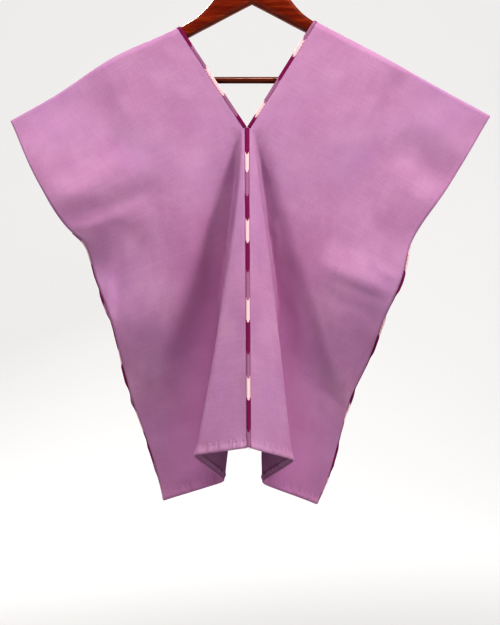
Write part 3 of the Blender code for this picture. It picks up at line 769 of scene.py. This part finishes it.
def make_lights():
    """Soft round lights that face the blouse."""
    for name, (place, aim, size, power, blue) in LIGHTS.items():
        data = bpy.data.lights.new(name, "AREA")
        data.shape = "DISK"
        data.size = size
        data.energy = power
        data.color = (1.0, 0.99, blue)
        light = add_object(name, data)
        light.location = place
        away = np.array(place) - np.array((0.0, 0.0, aim))
        tilt = math.acos(away[2] / np.linalg.norm(away))
        light.rotation_euler = (tilt, 0.0, math.atan2(away[1], away[0]) + math.pi / 2)


def make_world():
    """Faint light from all round. The space behind the floor looks pale, without lighting the blouse."""
    world = bpy.data.worlds.new("world")
    world.use_nodes = True
    nodes, links = world.node_tree.nodes, world.node_tree.links
    studio, pale = nodes["Background"], nodes.new("ShaderNodeBackground")
    for node, colour, strength in ((studio, (1.0, 0.72, 0.88, 1.0), 0.07),
                                   (pale, (0.97, 0.97, 0.965, 1.0), 0.62)):
        node.inputs["Color"].default_value = colour
        node.inputs["Strength"].default_value = strength
    seen = nodes.new("ShaderNodeLightPath").outputs["Is Camera Ray"]
    either = nodes.new("ShaderNodeMixShader")
    for socket, source in zip(either.inputs, (seen, studio.outputs[0], pale.outputs[0])):
        links.new(source, socket)
    links.new(either.outputs[0], nodes["World Output"].inputs["Surface"])
    bpy.context.scene.world = world


make_floor()
make_lights()
make_world()
view = bpy.context.scene.view_settings
view.view_transform = "Standard"
view.look = "High Contrast"
view.gamma = 0.9

# Cloths
CLOTH_HALF = 0.42
FIRST_COLUMN = 3.4
COLUMNS = 104


def column_places(side, face, vs):
    """Columns of each row, closer together at the crest, the valley and the side fold."""
    places = []
    table = np.linspace(FIRST_COLUMN, WIDTH, 900)
    for v in vs:
        crest, valley, fold = fold_places(side, face, v)[:3]
        near = smooth((v - FOLDS_FROM) / 60.0)
        wide = 2.0 + 8.0 * below_neck(v)
        amount = table / 4.4
        for bend, weight, reach in ((crest, 8.0, wide), (valley, 6.0, wide), (fold, 3.0, 24.0)):
            amount = amount + near * weight * np.tanh((table - bend) / reach)
        places.append(np.interp(np.linspace(amount[0], amount[-1], COLUMNS), amount, table))
    return np.array(places)


def make_cloth(side):
    """One cloth from the back hem over the shoulder to the front hem."""
    near = np.concatenate([np.arange(0.0, 18.0, 1.5), np.arange(18.0, 40.0, 2.6)])
    down = np.concatenate([near, np.linspace(41.0, LENGTH - 1.2, 154)])
    halves = []
    for face in (1, -1):
        u = column_places(side, face, down)
        v = np.repeat(down[:, None], COLUMNS, axis=1)
        halves.append((surface(side, face, u, v), u, v))
    (front, front_u, front_v), (back, back_u, back_v) = halves
    points = np.concatenate([back[:0:-1], (front[:1] + back[:1]) / 2, front[1:]])
    u = np.concatenate([back_u[:0:-1], front_u])
    v = np.concatenate([-back_v[:0:-1], front_v])
    normals = grid_normals(points, side, 1)
    return wall_mesh(f"cloth_{side}", points, normals, CLOTH_HALF, cotton, np.stack([u, v], axis=-1) * MM)


# The turned hem once round: distance from the shoulder fold, height off the cloth's middle
HEM_PROFILE = (
    (633.0, -0.15), (636.0, 0.15), (638.0, 0.48), (640.0, 0.52), (641.0, 0.50), (642.2, 0.68), (644.0, 1.02),
    (646.5, 1.42), (649.0, 1.45), (650.5, 0.85), (651.0, 0.0), (650.5, -0.95), (649.0, -1.25), (647.8, -0.62),
    (646.5, -0.90), (644.0, -1.65), (642.2, -1.60), (640.6, -1.15), (640.0, -0.50), (640.0, 0.0),
)
BEFORE_EDGE = 646.5
LAST_ROW = 649.0


def between(places, row, at):
    """A row of points or directions, read between its columns."""
    return np.array([np.interp(at, places, row[:, axis]) for axis in range(3)])


def make_hem(side, face):
    """Turned hem: a soft double band with small puckers above its stitches."""
    u = np.linspace(3.5, WIDTH - 0.3, 250)
    row_of = {v: k for k, v in enumerate(sorted({v for v, _ in HEM_PROFILE}))}
    base = surface(side, face, *np.meshgrid(u, np.minimum(list(row_of), LENGTH)))
    # the last rows run on past the edge in the same direction
    edge = base[row_of[LAST_ROW]]
    slope = unit(edge - base[row_of[BEFORE_EDGE]])
    for v, k in row_of.items():
        if v > LAST_ROW:
            base[k] = edge + slope * (v - LAST_ROW)
    normals = grid_normals(base, side, face)
    shift = 5.1 * (1 if side == "left" else 2) + (0.0 if face == 1 else 9.7)
    bulk = 1.0 + 0.12 * edge_waves(u / 14.0 + shift, 1.7)
    rings = [base[row_of[v]] + normals[row_of[v]] * (offset * bulk)[:, None] for v, offset in HEM_PROFILE]
    uvs = np.stack(np.meshgrid(u, [v for v, _ in HEM_PROFILE], indexing="ij"), axis=-1) * MM
    name = f"hem_{FACE_NAME[face]}_{side}"
    band = loop_mesh(name, np.stack(rings, axis=1), lit_hem_cotton, uvs)
    row = row_of[STITCH_ROW]
    chance = np.random.default_rng(int(100 + shift * 10))
    stitches, place = [], 9.0
    while place < WIDTH - 8.0:
        length = 3.0 + chance.uniform(-0.5, 0.7)
        a, b = (between(u, base[row], at) for at in (place, place + length))
        a_out, b_out = (between(u, normals[row], at) for at in (place, place + length))
        stitches.append(stitch(a + a_out * 0.55, b + b_out * 0.55, (a_out + b_out) / 2, 0.22, 0.28, 5, 5))
        place += 6.2 + chance.uniform(-0.9, 1.0)
    return band, thread_mesh(name + "_stitches", stitches, hem_thread)


# Tapes
def tape_wall(name, points, normals, half, along, across, material):
    """Closed strip through a grid of points; half is its half thickness at each column."""
    thick = normals * half[:, None]
    uvs = np.stack(np.broadcast_arrays(along[:, None], across), axis=-1) * MM
    rings = np.concatenate([points + thick, (points - thick)[:, ::-1]], axis=1)
    return loop_mesh(name, rings, material, np.concatenate([uvs, uvs[:, ::-1]], axis=1))


def dome(across, thick):
    """Half thickness of a woven tape, thin at its edges."""
    return thick * np.clip(1.0 - (np.abs(across) / (TAPE / 2)) ** 4, 0.0, 1.0) ** 0.5 + 0.05


def make_centre(face):
    """Tape over the centre seam with a row of small whip stitches down each edge."""
    vs = np.concatenate([np.arange(NECK + 0.6, LENGTH - 1.0, 1.9), [LENGTH + 0.4]])
    across = np.array([-3.6, -3.2, -2.4, -1.6, -0.8, 0.0, 0.8, 1.6, 2.4, 3.2, 3.6])
    columns = []
    for place in across:
        side = "left" if place < 0 else "right"
        columns.append(cloth_point(side, face, abs(place), np.minimum(vs, LENGTH)))
    points = np.stack(columns, axis=1)
    points[-1] = points[-2] + unit(points[-2] - points[-3]) * 1.6
    for _ in range(2):
        points[:, 1:-1] = points[:, 1:-1] * 0.5 + (points[:, :-2] + points[:, 2:]) * 0.25
    normals = grid_normals(points, "right", face)
    points = points + normals * 0.12
    points[..., 0] += 0.16 * edge_waves(vs / 17.0, 4.4 + face)[:, None]
    name = f"centre_tape_{FACE_NAME[face]}_woven"
    material = tape_material(f"centre_{FACE_NAME[face]}", LENGTH - NECK + 12.0)
    tape = tape_wall(name, points, normals, dome(across, 0.75), vs - NECK, across, material)
    stitches, chance = [], np.random.default_rng(71 + face)
    for edge, inner in ((0, 2), (-1, -3)):
        for k in range(2, len(vs) - 3, 2):
            out = normals[k, edge]
            a = points[k, edge] + (points[k, edge] - points[k, inner]) * 0.25 + out * 0.15
            b = points[k + 1, inner] * 0.35 + points[k + 1, edge] * 0.65 + out * 0.62
            lean = chance.uniform(-0.15, 0.15)
            stitches.append(stitch(a, b + (points[k + 1, edge] - points[k, edge]) * lean, out, 0.2, 0.25))
    return tape, thread_mesh(name + "_stitches", stitches, seam_thread), points, normals


def make_neck(side):
    """Tape folded over the neck edge of one cloth, from the back V point to the front one."""
    tall = np.concatenate([np.arange(0.0, 20.0, 1.6), np.arange(21.0, NECK - 1.0, 2.4), [NECK - 0.4]])
    edge, inside, along = [], [], []
    for face, vs in ((-1, tall[::-1]), (1, tall[1:])):
        edge.append(cloth_point(side, face, 0.15, vs))
        inside.append(cloth_point(side, face, 5.3, vs))
        along.append(NECK + face * vs)
    edge, inside, along = (np.concatenate(rows) for rows in (edge, inside, along))
    middle, reach = (edge + inside) / 2, (edge - inside) / 2
    out = unit(np.cross(np.gradient(middle, axis=0), reach))
    c, s = squared_circle(16, 0.8)
    tube = middle[:, None] + reach[:, None] * (c * 1.02)[:, None] + out[:, None] * (s * 0.95)[:, None]
    uvs = np.stack(np.broadcast_arrays(along[:, None], c * 2.6), axis=-1) * MM
    tape = loop_mesh(f"neck_band_{side}_woven", tube, tape_material(f"neck_{side}", 2 * NECK), uvs)
    stitches, chance = [], np.random.default_rng(81 + len(side))
    for k in range(3, len(middle) - 4, 2):
        for turn in (1, -1):
            lift = out[k] * 0.78 * turn
            a = middle[k] - reach[k] * (1.05 + chance.uniform(0.0, 0.12)) + lift * 0.6
            b = middle[k + 1] - reach[k + 1] * 0.62 + lift
            stitches.append(stitch(a, b, out[k] * turn, 0.18, 0.2))
    return tape, thread_mesh(f"neck_band_{side}_stitches", stitches, seam_thread)


# Where the side tape shows from the front: start and end from the shoulder fold, and how far out it comes
SIDE_PEEKS = {
    "left": ((224, 262, 0.5), (318, 372, 1.0), (430, 480, 0.9), (486, 514, 0.8), (560, 622, 0.6)),
    "right": ((222, 300, 1.0), (330, 404, 0.9), (452, 500, 1.0), (540, 590, 0.8)),
}


def make_side(side):
    """Tape round the side seam, from the front cloth to the back cloth."""
    vs = np.minimum(np.arange(ARMHOLE + 1.0, LENGTH + 0.5, 2.2), LENGTH)
    edge = {face: cloth_point(side, face, WIDTH, vs) for face in (1, -1)}
    inside = {face: cloth_point(side, face, WIDTH - 6.0, vs) for face in (1, -1)}
    middle = (edge[1] + edge[-1]) / 2
    away = unit(middle - (inside[1] + inside[-1]) / 2)
    across = (edge[1] - edge[-1]) / 2
    shown = np.zeros_like(vs)
    for start, end, amount in SIDE_PEEKS[side]:
        shown = np.maximum(shown, amount * smooth((vs - start) / 14.0) * smooth((end - vs) / 14.0))
    tuck = away * (0.75 - 2.3 * (1.0 - shown))[:, None]
    narrow = (0.70 + 0.34 * shown)[:, None]
    points, normals = [], []
    for angle in np.radians(np.linspace(-8.0, 188.0, 13)):
        spoke = across * math.cos(angle) * narrow + away * math.sin(angle) * SEAM_HALF
        points.append(middle + tuck + spoke)
        normals.append(unit(spoke))
    points, normals = np.stack(points, axis=1), np.stack(normals, axis=1)
    ruffle = 0.30 * edge_waves(vs / 11.0, 7.7 if side == "left" else 2.2)
    points = points + away[:, None] * ruffle[:, None, None]
    width = np.linspace(-3.6, 3.6, points.shape[1])
    name = f"side_tape_{side}"
    material = tape_material(f"side_{side}", LENGTH - ARMHOLE + 8.0)
    tape = tape_wall(name + "_woven", points, normals, dome(width, 0.62), vs - ARMHOLE, width, material)
    stitches = []
    for k in range(3, len(vs) - 4, 3):
        for column, step in ((1, 1), (-2, -1)):
            a = points[k, column] + normals[k, column] * 0.55
            b = points[k + 1, column + step] + normals[k + 1, column + step] * 0.66
            stitches.append(stitch(a, b, normals[k, column], 0.18, 0.2))
    return tape, thread_mesh(name + "_stitches", stitches, seam_thread)


def make_knot(points, normals):
    """Light end of thread knotted under the centre seam at the hem."""
    end = points[-1, 5] + normals[-1, 5] * 0.6 + np.array([0.0, 0.0, -0.6])
    path = []
    for t in np.linspace(0.0, 1.0, 40):
        angle = 4.4 * math.pi * t
        radius = 0.9 + 0.25 * math.sin(7 * t)
        path.append(end + np.array([radius * math.cos(angle), 0.7 * radius * math.sin(angle),
                                    -1.3 * t + 0.5 * math.sin(3.0 * angle) * 0.4]))
    path += [path[-1] + np.array([0.25 * k, -0.1 * k, -0.55 * k + 0.03 * k * k]) for k in range(1, 7)]
    path = np.array(path)
    down = unit(np.gradient(path, axis=0))
    one = unit(np.cross(down, np.array([0.3, 0.2, 0.93])))
    return loop_mesh("thread_knot", round_rings(path, one, np.cross(down, one), 0.33, 6), knot_thread)


# Hanger. Yoke: distance from the middle, upper edge, lower edge, half thickness
YOKE = (
    (0.0, -57.0, -112.5, 9.0),
    (14.0, -58.5, -119.7, 9.0),
    (28.0, -68.0, -127.0, 8.9),
    (42.0, -85.0, -134.3, 8.8),
    (56.0, -106.0, -141.8, 8.6),
    (72.0, -124.8, -150.0, 8.3),
)
# Arm: distance from the neck along the shoulder fold, depth, half thickness
ARM = (
    (0.0, 20.5, 7.8),
    (25.0, 20.5, 7.8),
    (50.0, 20.5, 7.7),
    (75.0, 20.0, 7.5),
    (100.0, 20.0, 7.2),
    (120.0, 20.0, 6.9),
    (134.0, 19.5, 6.5),
    (ARM_END, 16.0, 4.6),
)
BAR_RADIUS = 4.7
BAR_Z = -223.0
HOOK_WIRE = 1.8
HOOK_RADIUS = 19.0
HOOK_BEND_Z = -50.0


def arm_stations(side):
    """Stations of one arm: x, upper edge, lower edge, half thickness."""
    rows = []
    for u, depth, half in ARM:
        fold = cloth_point(side, 1, np.array([u]), np.array([0.0]))[0]
        top = fold[2] - WALL / 2 - 4 * GAP
        rows.append((fold[0], top, top - depth, half))
    return rows


def make_yoke():
    """Lacquered wooden arms in one piece, with eased edges and rounded ends."""
    mirrored = [(-x, top, low, half) for x, top, low, half in YOKE[:0:-1]]
    stations = np.array(arm_stations("left")[::-1] + mirrored + list(YOKE) + arm_stations("right"))
    at = stations[:, 0]
    xs = np.concatenate([np.linspace(a, b, 6)[:-1] for a, b in zip(at, at[1:])] + [at[-1:]])
    # the upper line is curved; the lower line and the thickness run straight between stations
    tops = spline(stations, 1, xs)
    lows, halves = (np.interp(xs, at, stations[:, column]) for column in (2, 3))
    c, s = squared_circle(40, 0.62, 0.5)
    rings = []
    for x, top, low, half in zip(xs, tops, lows, halves):
        rings.append(np.stack([np.full_like(c, x), half * c, (top + low) / 2 + (top - low) / 2 * s], axis=-1))
    steps = ((0.93, 0.35), (0.78, 0.6), (0.45, 0.7))
    first = rounded_end(rings[0], np.array([-1.0, 0.0, 0.0]), steps)
    last = rounded_end(rings[-1], np.array([1.0, 0.0, 0.0]), steps)
    yoke = loop_mesh("yoke_lacquered", first[::-1] + rings + last, yoke_wood)
    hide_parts("hanger_yoke")
    return yoke


def make_bar():
    """Round trouser bar whose ends meet the slope of the arms' lower edges."""
    angles = 2 * np.pi * np.arange(40) / 40
    y, z = BAR_RADIUS * np.cos(angles), BAR_Z + BAR_RADIUS * np.sin(angles)
    ends = []
    for side, sign in (("left", -1.0), ("right", 1.0)):
        lows, reaches = zip(*sorted((low - GAP, abs(x)) for x, _, low, _ in arm_stations(side)[:-1]))
        ends.append(np.stack([sign * (np.interp(z, lows, reaches) - 2 * GAP), y, z], axis=-1))
    sections = [ends[0] + (ends[1] - ends[0]) * t for t in np.linspace(0.0, 1.0, 41)]
    bar = loop_mesh("bar_lacquered", sections, shaded_bar_wood)
    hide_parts("trouser_bar")
    return bar


def make_hook():
    """Bent wire hook with a rounded tip."""
    ring_radius = HOOK_RADIUS + HOOK_WIRE
    path = [(0.0, 0.0, YOKE[0][1] - 0.4), (0.0, 0.0, -53.0), (0.0, 0.0, HOOK_BEND_Z)]
    for k in range(1, 15):
        t = k / 14.0
        path.append((ring_radius * 0.86 * smooth(t), 0.0, HOOK_BEND_Z + 21.0 * t))
    for angle in np.radians(-13.0 + 2.62 * np.arange(88)):
        path.append((ring_radius * math.cos(angle), 0.0, -HOOK_RADIUS + ring_radius * math.sin(angle)))
    path = np.array(path)
    down = unit(np.gradient(path, axis=0))
    one = np.tile([0.0, 1.0, 0.0], (len(path), 1))
    rings = list(round_rings(path, one, np.cross(down, one), HOOK_WIRE, 16))
    tip = rounded_end(rings[-1], down[-1], ((0.92, 0.7), (0.7, 1.3), (0.4, 1.65)))
    hook = loop_mesh("hook_wire", rings + tip, steel)
    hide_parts("hanger_hook")
    return hook


cloths = {side: make_cloth(side) for side in ("left", "right")}
carried = {"left": [], "right": []}
for side in ("left", "right"):
    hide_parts(f"panel_{side}")
    for face in (1, -1):
        carried[side] += make_hem(side, face)
    neck, neck_thread = make_neck(side)
    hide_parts(f"neck_band_{side}")
    border, border_thread = make_side(side)
    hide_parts(f"side_tape_{side}")
    carried[side] += [neck, neck_thread, border, border_thread]
for face, node in ((1, "centre_tape_front"), (-1, "centre_tape_back")):
    tape, thread, tape_points, tape_normals = make_centre(face)
    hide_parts(node)
    carried["left"] += [tape, thread]
    if face == 1:
        carried["left"].append(make_knot(tape_points, tape_normals))
pieces = list(cloths.values()) + carried["left"] + carried["right"] + [make_yoke(), make_bar(), make_hook()]

SLOT_OF = {"cloth": "lilac_cotton", "hem": "lilac_cotton", "yoke": "dark_wood", "bar": "dark_wood",
           "hook": "hook_steel"}
for piece in pieces:
    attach(piece, "root")
    SLOT_OF.get(piece.name.split("_")[0], "woven_tape")
